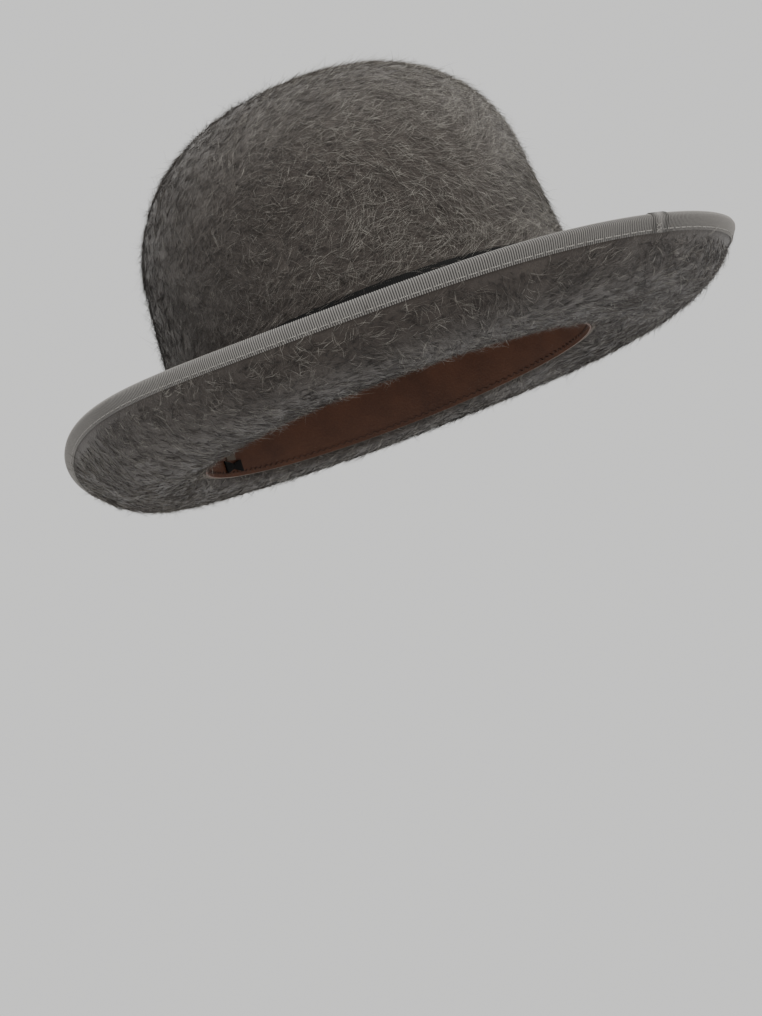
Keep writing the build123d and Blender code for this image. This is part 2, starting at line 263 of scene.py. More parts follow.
def math_node(tree, operation, first, second=None, third=None):
    """A Math node fed by sockets or numbers."""
    node = tree.nodes.new("ShaderNodeMath")
    node.operation = operation
    for place, value in enumerate((first, second, third)):
        if value is None:
            continue
        if isinstance(value, (int, float)):
            node.inputs[place].default_value = value
        else:
            tree.links.new(value, node.inputs[place])
    return node.outputs[0]


def blended(tree, share, first, second):
    """A colour mix of two colours, each a socket or a tuple."""
    node = tree.nodes.new("ShaderNodeMix")
    node.data_type = "RGBA"
    for place, value in ((0, share), (6, first), (7, second)):
        if isinstance(value, (int, float)):
            node.inputs[place].default_value = value
        elif isinstance(value, tuple):
            node.inputs[place].default_value = (*value, 1)
        else:
            tree.links.new(value, node.inputs[place])
    return node.outputs[2]


def noise(tree, vector, scale, detail=3.0, distortion=0.0):
    node = tree.nodes.new("ShaderNodeTexNoise")
    node.inputs["Scale"].default_value = scale
    node.inputs["Detail"].default_value = detail
    node.inputs["Distortion"].default_value = distortion
    tree.links.new(vector, node.inputs["Vector"])
    return node.outputs["Fac"]


# %% Groups: mottled hair, woven ribs, leather grain
hair_group, g_in, g_out = new_group(
    "mottled_hair",
    [("Place", "NodeSocketVector", None), ("Dark", "NodeSocketColor", (0.03, 0.022, 0.018, 1)),
     ("Light", "NodeSocketColor", (0.16, 0.145, 0.12, 1))],
    [("Color", "NodeSocketColor"), ("Height", "NodeSocketFloat")],
)
patches = noise(hair_group, g_in.outputs["Place"], 38, 4)
strands = noise(hair_group, g_in.outputs["Place"], 900, 2, 1.5)
tone = math_node(hair_group, "MULTIPLY_ADD", strands, 0.75, math_node(hair_group, "MULTIPLY", patches, 0.5))
tone = math_node(hair_group, "SUBTRACT", tone, 0.22)
hair_group.links.new(
    blended(hair_group, tone, g_in.outputs["Dark"], g_in.outputs["Light"]), g_out.inputs["Color"]
)
hair_group.links.new(strands, g_out.inputs["Height"])

rib_group, g_in, g_out = new_group(
    "woven_ribs",
    [("Cut", "NodeSocketVector", None), ("Pitch", "NodeSocketFloat", 0.0009),
     ("Dark", "NodeSocketColor", (0.02, 0.02, 0.02, 1)), ("Light", "NodeSocketColor", (0.1, 0.1, 0.1, 1))],
    [("Color", "NodeSocketColor"), ("Height", "NodeSocketFloat")],
)
split = rib_group.nodes.new("ShaderNodeSeparateXYZ")
rib_group.links.new(g_in.outputs["Cut"], split.inputs[0])
turns = math_node(rib_group, "DIVIDE", math_node(rib_group, "MULTIPLY", split.outputs[0], 2 * math.pi),
                  g_in.outputs["Pitch"])
rib = math_node(rib_group, "MULTIPLY_ADD", math_node(rib_group, "SINE", turns), 0.5, 0.5)
pick_pitch = 0.0003
crossing = math_node(rib_group, "MULTIPLY", split.outputs[1], 2 * math.pi / pick_pitch)
picks = math_node(rib_group, "SINE", crossing)
height = math_node(rib_group, "MULTIPLY_ADD", picks, 0.12, rib)
slub = noise(rib_group, g_in.outputs["Cut"], 1400, 2)
# The colour follows the height, lighter on the crests of the ribs and darker between them: painted light and
# shade; the slubs are the yarn's own tone.
share = math_node(rib_group, "MULTIPLY_ADD", slub, 0.35, math_node(rib_group, "MULTIPLY", height, 0.95))
share = math_node(rib_group, "SUBTRACT", share, 0.17)
rib_group.links.new(
    blended(rib_group, share, g_in.outputs["Dark"], g_in.outputs["Light"]), g_out.inputs["Color"]
)
rib_group.links.new(height, g_out.inputs["Height"])

grain_group, g_in, g_out = new_group(
    "leather_grain",
    [("Place", "NodeSocketVector", None), ("Dark", "NodeSocketColor", (0.02, 0.008, 0.004, 1)),
     ("Light", "NodeSocketColor", (0.09, 0.035, 0.018, 1))],
    [("Color", "NodeSocketColor"), ("Height", "NodeSocketFloat")],
)
cells = grain_group.nodes.new("ShaderNodeTexVoronoi")
cells.inputs["Scale"].default_value = 1100
grain_group.links.new(g_in.outputs["Place"], cells.inputs["Vector"])
wear = noise(grain_group, g_in.outputs["Place"], 60, 4)
grain_group.links.new(
    blended(grain_group, math_node(grain_group, "MULTIPLY_ADD", cells.outputs["Distance"], 0.3, wear),
            g_in.outputs["Dark"], g_in.outputs["Light"]), g_out.inputs["Color"]
)
grain_group.links.new(cells.outputs["Distance"], g_out.inputs["Height"])


# %% A finish from a group
def finish_of(name, group, coordinate, dark, light, roughness, bump, sheen=0.0, pitch=None):
    material = bpy.data.materials.new(name)
    material.use_nodes = True
    tree = material.node_tree
    shader = tree.nodes["Principled BSDF"]
    where = tree.nodes.new("ShaderNodeTexCoord")
    effect = tree.nodes.new("ShaderNodeGroup")
    effect.node_tree = group
    tree.links.new(where.outputs[coordinate], effect.inputs[0])
    effect.inputs["Dark"].default_value = (*dark, 1)
    effect.inputs["Light"].default_value = (*light, 1)
    if pitch:
        effect.inputs["Pitch"].default_value = pitch
    tree.links.new(effect.outputs["Color"], shader.inputs["Base Color"])
    shader.inputs["Roughness"].default_value = roughness
    shader.inputs["Sheen Weight"].default_value = sheen
    relief = tree.nodes.new("ShaderNodeBump")
    relief.inputs["Strength"].default_value = 0.7
    relief.inputs["Distance"].default_value = bump
    tree.links.new(effect.outputs["Height"], relief.inputs["Height"])
    tree.links.new(relief.outputs["Normal"], shader.inputs["Normal"])
    return material


# The felt under the nap is very dark: partly its own colour, partly painted shade in the gaps between the
# hairs.
felt_finish = finish_of("long_haired_felt", hair_group, "Object",
                        (0.018, 0.012, 0.010), (0.082, 0.068, 0.057), 0.9, 0.0005, sheen=0.3)
binding_finish = finish_of("grey_grosgrain", rib_group, "UV", (0.016, 0.015, 0.014), (0.27, 0.255, 0.24),
                           0.7, 0.00012, sheen=0.1, pitch=0.0009)
band_finish = finish_of("black_grosgrain", rib_group, "UV",
                        (0.0008, 0.0008, 0.0008), (0.0055, 0.0055, 0.0056), 0.75, 0.00012, pitch=0.0009)
band_finish.node_tree.nodes["Principled BSDF"].inputs["Specular IOR Level"].default_value = 0.25
leather_finish = finish_of("brown_leather", grain_group, "Object",
                           (0.035, 0.014, 0.008), (0.13, 0.052, 0.027), 0.5, 0.0001)
tape_finish = finish_of("cotton_tape", rib_group, "UV", (0.06, 0.05, 0.04), (0.2, 0.17, 0.14), 0.85,
                        0.00006, pitch=0.0006)
satin_finish = finish_of("satin", rib_group, "UV", (0.05, 0.022, 0.016), (0.085, 0.038, 0.027), 0.32,
                         0.00001, sheen=0.2, pitch=0.0004)
piping_finish = finish_of("satin_piping", rib_group, "UV", (0.06, 0.026, 0.02), (0.11, 0.05, 0.036), 0.35,
                          0.00004, sheen=0.2, pitch=0.0008)
thread_finish = finish_of("twisted_thread", rib_group, "UV", (0.05, 0.047, 0.043), (0.42, 0.40, 0.37), 0.6,
                          0.00005, pitch=0.0007)
brown_thread = finish_of("brown_thread", rib_group, "UV", (0.03, 0.015, 0.01), (0.12, 0.06, 0.04), 0.6,
                         0.00005, pitch=0.0007)
ticket_finish = finish_of("ticket_paper", grain_group, "Object", (0.5, 0.47, 0.4), (0.65, 0.62, 0.55), 0.8,
                          0.00002)
reed_finish = finish_of("reed", grain_group, "Object", (0.2, 0.14, 0.07), (0.35, 0.26, 0.14), 0.5, 0.00003)
print(len(bpy.data.materials), "materials")

# %% [markdown]
# ## The felt hood
# Crown and brim are one piece of felt, blocked over a wooden form. It could be a turned shape with a
# bent brim, but the brim changes all the way round, so its whole section is wrapped as one closed
# skin: over the crown, round the break, out along the brim, round the edge and back inside.

# %% Felt body
wall_steps, shoulder_steps, cap_steps = 16, 20, 20
bend_steps, brim_steps, nose_steps = 8, 34, 7
wall_low = 9.0
full_turn = np.linspace(-np.pi, np.pi, 241)[:, None]


def bend_line(angle, depth, steps, outwards=True):
    """The bend between the wall and the brim at a depth off its centre line."""
    centre, _, slope = break_bend(angle)
    first, last = np.pi + taper, 1.5 * np.pi + slope
    turn = first + (last - first) * np.linspace(0, 1, steps)[None]
    if not outwards:
        turn = turn[:, ::-1]
    return centre + heading(turn) * (break_radius - depth)


def felt_skin(angle):
    """The felt's section, from the top of the crown outside to the top inside."""
    columns = len(angle)
    half_brim, half_crown = felt_thickness / 2, crown_thickness / 2
    outer = crown_over(half_crown, wall_low, steps=(wall_steps, shoulder_steps, cap_steps))[::-1]
    inner = crown_over(-half_crown, wall_low, steps=(8, 12, 10))
    shares = np.linspace(0, 1, brim_steps)[None]
    nose_turn = np.linspace(np.pi / 2, -np.pi / 2, nose_steps)[None, 1:-1]
    edge_turn = np.radians(around(edge_slope, angle)) + nose_turn
    nose = brim(angle, np.ones((1, 1))) + heading(edge_turn) * half_brim
    return np.concatenate([
        np.broadcast_to(outer, (columns, *outer.shape)),
        bend_line(angle, half_brim, bend_steps),
        brim(angle, shares, half_brim)[:, 1:],
        nose,
        brim(angle, shares, -half_brim)[:, ::-1],
        bend_line(angle, -half_brim, 6, outwards=False)[:, 1:],
        np.broadcast_to(inner, (columns, *inner.shape)),
    ], 1)


places = on_head(full_turn, felt_skin(full_turn))
felt_body = closed_up(wrapped("felt_body", places), smooth=80)
finished(felt_body, "felt", felt_finish, "felt_hood")

# %% [markdown]
# ## The nap
# The felt's surface is long hair, combed round the crown and curlier under the brim. A hair system
# would give curves that can't be exported, and tens of thousands of hairs can't be modelled by hand, so
# each hair is a three-sided spike of six faces, set in code along the felt's own surface.

# %% Hairs on the felt
draw = np.random.default_rng(11)
band_foot, band_top = 5.5, 36.0
outer_rows = wall_steps + shoulder_steps + cap_steps - 2
brim_rows = outer_rows + bend_steps + brim_steps - 1
crown_rows = (0, outer_rows + 4)
top_rows = (outer_rows, brim_rows - 3)
under_rows = (brim_rows + 8, brim_rows + 44)


def surface_at(column, row):
    """Place on the felt at fractional grid columns and rows."""
    column, row = np.clip(column, 0, places.shape[0] - 1.001), np.clip(row, 0, places.shape[1] - 1.001)
    i, j = column.astype(int), row.astype(int)
    u, v = (column - i)[:, None], (row - j)[:, None]
    return (places[i, j] * (1 - u) * (1 - v) + places[i + 1, j] * u * (1 - v)
            + places[i, j + 1] * (1 - u) * v + places[i + 1, j + 1] * u * v)


def nap(name, rows, count, length, width, lift, disorder, curl, tone_mid, tone_spread, light_and_tone_forward, tuft):
    """Spikes rooted evenly by area between two rows of the felt.
    Hairs get lighter towards the front, or towards the back for a negative setting: mostly painted light from
    the front, partly the felt's own tone."""
    first, last = rows
    block = places[:, first:last + 1]
    wide = np.linalg.norm(block[1:, :-1] - block[:-1, :-1], axis=-1)
    deep = np.linalg.norm(block[:-1, 1:] - block[:-1, :-1], axis=-1)
    area = wide * deep
    # No hair grows where the band covers the wall.
    on_wall = np.arange(first, last) < outer_rows
    covered = block[:-1, :-1, 2] < (break_height + band_top + 1.2) * mm
    area = np.where(covered & on_wall[None], 0, area).ravel()
    # Hairs stand in tufts, which share a place, a direction and a tone.
    tufts = count // tuft
    count = tufts * tuft

    def in_tufts(values, stray):
        return np.repeat(values, tuft) + draw.normal(0, stray, count)

    cell = draw.choice(len(area), tufts, p=area / area.sum())
    column = in_tufts(cell // wide.shape[1] + draw.random(tufts), 0.06)
    row = in_tufts(first + cell % wide.shape[1] + draw.random(tufts), 0.11)
    root = surface_at(column, row)
    step = 0.6
    last_column = places.shape[0] - 1.01
    side = surface_at(np.minimum(column + step, last_column), row) - surface_at(column - step, row)
    down = surface_at(column, row + step) - surface_at(column, np.maximum(row - step, 0))
    side /= np.linalg.norm(side, axis=1, keepdims=True) + 1e-12
    down /= np.linalg.norm(down, axis=1, keepdims=True) + 1e-12
    out = np.cross(down, side)
    out /= np.linalg.norm(out, axis=1, keepdims=True) + 1e-12
    # The comb runs round the hat and wanders in broad locks.
    swirl = 2.2 * np.sin(root[:, 1] * 60)
    wander = 0.5 * np.sin(root[:, 2] * 95 + swirl) + 0.4 * np.sin(root[:, 0] * 120 + 1)
    turn = (0.35 + wander + in_tufts(draw.normal(0, disorder, tufts), 0.13))[:, None]
    # Near the band the hair is brushed up, so that it leaves the ribbon's edge clear.
    dive = np.sin(turn)
    close = ((root[:, 2] < (break_height + band_top + 7) * mm) & (row < outer_rows))[:, None]
    way = side * np.cos(turn) + down * np.where(close, -np.abs(dive), dive)
    cross = np.cross(out, way)
    size = (length * draw.uniform(0.55, 1.35, count))[:, None]
    rise = np.abs(lift * in_tufts(draw.gamma(1.6, 0.62, tufts), 0.2))[:, None]
    bow = (curl * in_tufts(draw.normal(0, 1, tufts), 0.25))[:, None]
    middle = root + way * size * 0.5 + out * (0.00012 + rise * 0.5) + cross * size * bow * 0.5
    tip = root + way * size + out * (0.0001 + rise) + cross * size * bow * 1.6
    thick = (width * draw.uniform(0.7, 1.3, count))[:, None]
    points = np.empty((count, 7, 3))
    for corner in range(3):
        swing = corner * 2 * math.pi / 3 + 0.5
        spoke = cross * math.cos(swing) + out * math.sin(swing)
        points[:, corner] = root - out * 0.0001 + spoke * thick
        points[:, 3 + corner] = middle + spoke * thick * 0.8
    points[:, 6] = tip
    faces = np.array([0, 1, 4, 3, 1, 2, 5, 4, 2, 0, 3, 5, 3, 4, 6, 4, 5, 6, 5, 3, 6])
    sizes = np.array([4, 4, 4, 3, 3, 3])
    corners = (faces[None] + 7 * np.arange(count)[:, None]).ravel()
    mesh = bpy.data.meshes.new(name)
    mesh.vertices.add(7 * count)
    mesh.vertices.foreach_set("co", points.ravel())
    mesh.loops.add(len(corners))
    mesh.loops.foreach_set("vertex_index", corners.astype(np.int32))
    totals = np.tile(sizes, count)
    mesh.polygons.add(6 * count)
    mesh.polygons.foreach_set("loop_start", (np.cumsum(totals) - totals).astype(np.int32))
    mesh.polygons.foreach_set("use_smooth", np.ones(6 * count, bool))
    # Tone along u and place along the hair along v.
    # Lighter towards the front: mostly painted light, as from a lamp in front, partly the felt's own tone.
    front = np.clip(-root[:, 1] * light_and_tone_forward, -0.4, 0.3)
    x, y, z = root.T
    locks = 0.10 * np.sin(x * 1500 + z * 900) * np.sin(y * 1300 - z * 1100)
    own = in_tufts(draw.normal(0, tone_spread, tufts), 0.05)
    shade = np.clip(tone_mid + front + locks + own, 0.02, 0.98)
    spread = np.array([-0.008, 0.0, 0.008, -0.008, 0.0, 0.008, 0.0])
    along = np.array([0, 0, 0, 0.5, 0.5, 0.5, 1.0])
    tone = shade[:, None] + spread[None, faces]
    mesh.uv_layers.new(name="OFBake")
    cut = np.stack([tone, np.broadcast_to(along[faces], tone.shape)], -1)
    mesh.uv_layers["OFBake"].data.foreach_set("uv", cut.ravel())
    mesh.update()
    mesh.validate()
    piece = bpy.data.objects.new(name, mesh)
    bpy.context.collection.objects.link(piece)
    return piece


# %% Hair finish: its colour follows the tone, with painted shade darkening it towards the root
nap_finish = bpy.data.materials.new("nap_hair")
nap_finish.use_nodes = True
tree = nap_finish.node_tree
shader = tree.nodes["Principled BSDF"]
hair_map = tree.nodes.new("ShaderNodeUVMap")
hair_map.uv_map = "OFBake"
hair_split = tree.nodes.new("ShaderNodeSeparateXYZ")
tree.links.new(hair_map.outputs[0], hair_split.inputs[0])
ramp = tree.nodes.new("ShaderNodeValToRGB")
stops = ramp.color_ramp.elements
stops[0].position, stops[0].color = 0.0, (0.020, 0.013, 0.010, 1)
stops[1].position, stops[1].color = 1.0, (0.56, 0.53, 0.47, 1)
for place, colour in ((0.3, (0.054, 0.038, 0.031)), (0.62, (0.182, 0.157, 0.137))):
    stop = stops.new(place)
    stop.color = (*colour, 1)
tree.links.new(hair_split.outputs[0], ramp.inputs[0])
# Each hair darkens towards its root: painted shade deep in the nap, where the hairs cover each other.
rooted = blended(tree, math_node(tree, "MULTIPLY_ADD", hair_split.outputs[1], 0.8, 0.28), (0.0, 0.0, 0.0),
                 ramp.outputs[0])
tree.links.new(rooted, shader.inputs["Base Color"])
shader.inputs["Roughness"].default_value = 0.6
shader.inputs["Sheen Weight"].default_value = 0.1

thin = 1.0
# The next to last column lightens the hairs towards the front, or towards the back where it is negative:
# mostly painted light, partly the felt's own tone.
naps = [
    ("nap_crown_low", crown_rows, 21000, 0.0070, 0.000075, 0.0008, 0.40, 0.10, 0.34, 0.20, 3.8, 2),
    ("nap_crown_mid", crown_rows, 21000, 0.0065, 0.000068, 0.0010, 0.50, 0.14, 0.40, 0.22, 3.8, 2),
    ("nap_crown_top", crown_rows, 21000, 0.0060, 0.000056, 0.0012, 0.62, 0.18, 0.47, 0.23, 3.8, 1),
    ("nap_crown_loose", crown_rows, 8000, 0.0078, 0.000048, 0.0022, 1.00, 0.28, 0.72, 0.16, 2.6, 1),
    ("nap_brim_top", top_rows, 20000, 0.0060, 0.000070, 0.0009, 0.60, 0.15, 0.42, 0.22, 1.0, 2),
    ("nap_brim_under", under_rows, 21000, 0.0062, 0.000078, 0.0007, 0.50, 0.20, 0.30, 0.26, -0.8, 2),
    ("nap_brim_curls", under_rows, 21000, 0.0056, 0.000066, 0.0011, 0.80, 0.36, 0.62, 0.28, -0.8, 2),
]
for name, rows, count, *looks in naps:
    hairs = nap(name, rows, int(count * thin), *looks)
    finished(hairs, "felt", nap_finish)

# %% [markdown]
# ## The binding
# A grosgrain ribbon is folded over the felt's edge and stitched through. Its ribs stand up enough to
# catch the light, so they are in the mesh, with weave and slubs in the material, which also paints the ribs
# lighter on their crests and darker between them.

# %% Ribbon round the edge
rib_count = 1056
turn = np.linspace(-np.pi, np.pi, rib_count * 4 + 1)[:, None]


def share_at(angle, distance):
    """Share along the brim at a distance back from the felt's edge."""
    shares = np.linspace(0.7, 1, 61)
    line = brim(angle, shares[None])
    runs = np.linalg.norm(np.diff(line, axis=1), axis=-1)[:, ::-1].cumsum(1)[:, ::-1]
    back = np.concatenate([runs, np.zeros((len(runs), 1))], 1)
    return np.array([np.interp(-distance, -b, shares) for b in back])[:, None]


def folded_ribbon(angle, inner, outer, rows=5, ribs=0.0):
    """Closed section of a ribbon folded over the edge, between two distances off the felt's middle."""
    foot = share_at(angle, binding_width)
    shares = foot + (1 - foot) * np.linspace(0, 1, rows)[None]
    swell = outer + ribs
    turns = np.linspace(np.pi / 2, -np.pi / 2, 6)[None, 1:-1]
    edge_turn = np.radians(around(edge_slope, angle)) + turns
    nose = brim(angle, np.ones((1, 1)))
    return np.concatenate([
        brim(angle, shares[:, :1], inner),
        brim(angle, shares, swell),
        nose + heading(edge_turn) * (swell[..., None] if np.ndim(swell) else swell),
        brim(angle, shares[:, ::-1], -swell),
        brim(angle, shares[:, :1], -inner),
        brim(angle, shares[:, -1:], -inner),
        brim(angle, shares[:, -1:], inner),
        brim(angle, shares[:, :1], inner),
    ], 1)


binding_inner = felt_thickness / 2 + gap
binding_outer = binding_inner + ribbon
relief = 0.15 * np.sin(np.arange(len(turn)) * np.pi / 2)[:, None]
section = folded_ribbon(turn, binding_inner, binding_outer, ribs=relief)
binding = closed_up(wrapped("binding_ribbon", on_head(turn, section), even=True), smooth=60)
ends = np.empty(len(binding.data.loops) * 2)
binding.data.uv_layers[0].data.foreach_get("uv", ends)
rib_pitch = float(ends[::2].max()) / rib_count
binding_effect = next(node for node in binding_finish.node_tree.nodes if node.type == "GROUP")
binding_effect.inputs["Pitch"].default_value = rib_pitch
print("one rib every", round(rib_pitch * 1000, 3), "mm")
finished(binding, "binding_ribbon", binding_finish, "brim_binding")
print("area of one side of the binding", round(half_area(binding), 5), "square metres")

# %% Lap of the binding at its join, one layer up
lap_angle = math.radians(-21)
lap_turn = np.linspace(lap_angle - 0.027, lap_angle + 0.027, 41)[:, None]
lap_relief = 0.13 * np.cos(np.arange(41) * np.pi / 2)[:, None]
lap_section = folded_ribbon(lap_turn, binding_outer - 0.05, binding_outer + ribbon, ribs=lap_relief)
binding_lap = closed_up(wrapped("binding_lap", on_head(lap_turn, lap_section)), smooth=60)
finished(binding_lap, "binding_ribbon", binding_finish)

# %% [markdown]
# ## Stitching
# A lockstitch dips through the ribbon at every hole, so each row of thread is a round section whose
# middle sinks at the holes. The join is closed by a few slanting hand stitches.


# %% Thread along a line of centres
def thread_round(name, angle, centre, radius, sides=6):
    spokes = np.linspace(0, 2 * np.pi, sides + 1)[None]
    return wrapped(name, on_head(angle, centre + heading(spokes) * radius), smooth=90)


stitches = 226
turn = np.linspace(-np.pi, np.pi, stitches * 8 + 1)[:, None]
dip = np.abs(np.cos(turn * stitches / 2)) ** 6 * 0.75
seam_share = share_at(turn, binding_width - 1.2)
for name, side in (("stitches_over", 1), ("stitches_under", -1)):
    seam = brim(turn, seam_share, side * (binding_outer + 0.27 - dip))
    piece = closed_up(thread_round(name, turn, seam, 0.24), smooth=90)
    finished(piece, "thread", thread_finish, "binding_stitching")

join_ways = ((-0.019, 1.2, -0.003, 2.4), (-0.003, 1.3, -0.019, 2.5), (-0.019, 2.9, -0.003, 4.1),
             (-0.003, 3.0, -0.019, 4.2))
over_lap = binding_outer + ribbon + 0.2
for order, (start, low, end, high) in enumerate(join_ways):
    share = np.linspace(0, 1, 9)[:, None]
    angle = lap_angle + start + (end - start) * share
    back = low + (high - low) * share
    seam = brim(angle, share_at(angle, back[4, 0]), -(over_lap + 0.1 * order))
    here = brim(angle, share_at(angle, back[4, 0]), -over_lap)
    one_back = brim(angle, share_at(angle, back[4, 0] + 1.0), -over_lap)
    seam = seam + (one_back - here) * (back - back[4, 0])[..., None]
    stitch = closed_up(thread_round(f"join_stitch_{order + 1}", angle, seam, 0.22), smooth=90)
    finished(stitch, "thread", thread_finish, *(["binding_join_stitches"] if order == 0 else []))

# %% [markdown]
# ## The band and its bow
# A black ribbon is stretched round the foot of the crown. Its ends are hidden by a flat bow on the
# wearer's left: a slanting tail, two folded loops, and a knot wrapped round them.

# %% Band
band_inner = crown_thickness / 2 + gap
band_outer = band_inner + ribbon


def flat_section(low, high, inner, outer, rows=8):
    """Closed section of a ribbon on the wall, a little thicker at its two selvedges."""
    height = np.linspace(0, 1, rows)
    bead = 0.14 * (np.exp(-((height - 0.03) / 0.03) ** 2) + np.exp(-((height - 0.97) / 0.03) ** 2))
    rise = low + (high - low) * height
    outside = wall_point(rise, outer + bead)
    return np.concatenate([outside, wall_point([high, low], inner), outside[:1]])


band_turn = np.linspace(-np.pi, np.pi, 385)[:, None]
band_section = np.broadcast_to(flat_section(band_foot, band_top, band_inner, band_outer, 24), (385, 27, 2))
band = closed_up(wrapped("band_ribbon", on_head(band_turn, band_section)), smooth=50)
finished(band, "band_ribbon", band_finish, "hat_band")


# %% Bow pieces: strips that follow the wall, then get a ribbon's thickness
bow_ribbon = ribbon * mm * 0.9


def wall_strip(name, angle, low, high, depth, rows=9):
    """One layer of ribbon through stations along the wall."""
    share = np.linspace(0, 1, rows)[None]
    height = low[:, None] + (high - low)[:, None] * share
    section = wall_point(height, depth[:, None] + np.zeros_like(share))
    return closed_up(wrapped(name, on_head(angle[:, None], section)), thickness=bow_ribbon, smooth=50)


layer = ribbon + gap
bow_low, bow_high = band_foot + 1, band_top - 1
tail_depth = band_outer + gap + layer + ribbon / 2
tail_angle = np.linspace(0, 52 / 100, 40)
slant = np.clip((tail_angle - 0.42) / 0.1, 0, 1)
tail = wall_strip("bow_tail_ribbon", np.pi / 2 + tail_angle, np.full(40, bow_low),
                  bow_high - (bow_high - bow_low - 1.5) * slant, np.full(40, tail_depth))
finished(tail, "band_ribbon", band_finish, "bow_tail")

loop_inner = band_outer + gap + 2 * layer
loop_depth = 2 * ribbon + 1.6
sides = []
for name, node, side in (("bow_loop_front", "bow_front_loop", -1), ("bow_loop_rear", "bow_rear_loop", 1)):
    reach = np.concatenate([np.linspace(0.02, 0.43, 24), np.full(9, 0.43), np.linspace(0.43, 0.02, 24)])
    turn_out = np.concatenate([np.zeros(24), np.linspace(0, np.pi, 11)[1:-1], np.full(24, np.pi)])
    reach = reach + 0.0135 * np.sin(turn_out)
    depth = loop_inner + ribbon / 2 + (loop_depth - ribbon) * (1 - np.cos(turn_out)) / 2
    swell = np.concatenate([np.zeros(33), 0.5 * np.sin(np.linspace(0, np.pi, 24))])
    waist = 1.2 * np.exp(-(reach / 0.09) ** 2)
    low, high = bow_low + 0.4 + waist, bow_high - 0.2 - waist
    loop = wall_strip(name, np.pi / 2 + side * reach, low, high, depth + swell)
    sides.append(finished(loop, "band_ribbon", band_finish, node))

knot_half = 0.075
knot_turn = np.linspace(np.pi / 2 - knot_half, np.pi / 2 + knot_half, 17)[:, None]
inner, outer = band_outer + gap, loop_inner + loop_depth + layer
folds = 0.25 * np.cos((knot_turn - np.pi / 2) / knot_half * 2.5 * np.pi)
low, high = bow_low - 0.3, bow_high + 0.3
rise = np.linspace(low, high, 12)[None] + 0 * knot_turn
swell = 0.35 * np.sin((rise - low) / (high - low) * np.pi)
front = wall_point(rise, outer - ribbon / 2 + swell + folds)
back = wall_point(rise[:, ::-1], inner + ribbon / 2)
knot_section = np.concatenate([front, back, front[:, :1]], 1)
knot = closed_up(wrapped("bow_knot_ribbon", on_head(knot_turn, knot_section)), thickness=bow_ribbon, smooth=50)
finished(knot, "band_ribbon", band_finish, "bow_knot")

# %% [markdown]
# ## Inside the hat
# A leather sweatband leans from the lining out over a reed at its foot. The reed is wrapped in tape, a
# row of stitches holds the leather to it, and a flat bow covers the join at the back. Above it the
# crown is lined with satin: a gathered side and a plain tip, piped together.

# %% Sweatband, reed tape and stitches
sweat_foot, sweat_top, leather = 1.0, 44.0, 1.0
reed_radius, tape, lining = 0.9, 0.3, 0.35
reed_depth = -(crown_thickness / 2 + 2 * gap + reed_radius + tape)
leather_foot = reed_depth - reed_radius - tape - 4 * gap
leather_top = -(crown_thickness / 2 + 5 * gap + lining)
reed_height = sweat_foot + reed_radius + tape


def leather_point(height, depth=0.0):
    height = np.asarray(height, float)
    share = (height - sweat_foot) / (sweat_top - sweat_foot)
    return wall_point(height, leather_foot + (leather_top - leather_foot) * share - depth)


ring = np.linspace(-np.pi, np.pi, 257)[:, None]
rise = np.linspace(sweat_foot, sweat_top, 26)[None]
ease = 0.12 * np.sin(ring * 7) * np.sin((rise - sweat_foot) / 43 * np.pi)
near = leather_point(rise + 0 * ring, 0.12 + ease)
far = leather_point(rise + 0 * ring, leather - 0.05 + ease)[:, ::-1]
shell = np.concatenate([far, near, far[:, :1]], 1)
sweatband_piece = closed_up(wrapped("sweatband_leather", on_head(ring, shell)), smooth=40)
finished(sweatband_piece, "leather", leather_finish, "sweatband")

reed_centre = wall_point(reed_height, reed_depth)
wrap_turn = np.linspace(0, 2 * np.pi, 17)[None]
tape_round = reed_centre + heading(wrap_turn + 0 * ring) * (reed_radius + gap + tape / 2)
outer_tape = closed_up(wrapped("reed_tape_wrap", on_head(ring, tape_round)), thickness=tape * mm, smooth=60)
finished(outer_tape, "cotton_tape", tape_finish, "reed_tape")
# The reed and the ticket keep their CAD shapes and only get a finish.
for node, material in (("sweatband_reed", reed_finish), ("size_ticket", ticket_finish)):
    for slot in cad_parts[node].material_slots:
        slot.material = material

zigzags = 150
turn = np.linspace(-np.pi, np.pi, zigzags * 8 + 1)[:, None]
sway = 2 * np.abs(2 * ((turn * zigzags / (2 * np.pi)) % 1) - 1) - 1
seam = leather_point(reed_height + 0.8 + 0.7 * sway, leather + 0.22)
sweat_stitches = closed_up(thread_round("sweatband_stitches", turn, seam, 0.2), smooth=90)
finished(sweat_stitches, "thread", brown_thread, "sweatband_stitching")


def leather_patch(name, angle, low, high, depth, thickness):
    share = np.linspace(0, 1, 9)[None]
    height = low[:, None] + (high - low)[:, None] * share
    section = leather_point(height, depth[:, None] + 0 * share)
    return closed_up(wrapped(name, on_head(angle[:, None], section)), thickness=thickness, smooth=50)


tape_half = 0.045
patch_turn = np.pi + np.linspace(-tape_half, tape_half, 13)
tape_low = reed_height + 4 * 0.22 + 6.0
seam_tape = leather_patch("rear_seam_tape", patch_turn, np.full(13, tape_low), np.full(13, sweat_top - 0.2),
                          np.full(13, leather + 0.35), tape * mm)
finished(seam_tape, "cotton_tape", tape_finish, "sweatband_seam_tape")
bow_turn = np.linspace(-1, 1, 25)
bow_tall = 1.1 + 1.9 * np.abs(bow_turn) ** 0.8
bow_mid = reed_height + 0.7 + 3.0
bow_puff = leather + 0.5 + 0.35 * np.sin(np.abs(bow_turn) * np.pi)
rear_bow = leather_patch("rear_bow_ribbon", np.pi + 0.085 * bow_turn, bow_mid - bow_tall, bow_mid + bow_tall,
                         bow_puff, 0.6 * mm)
finished(rear_bow, "band_ribbon", band_finish, "sweatband_bow")

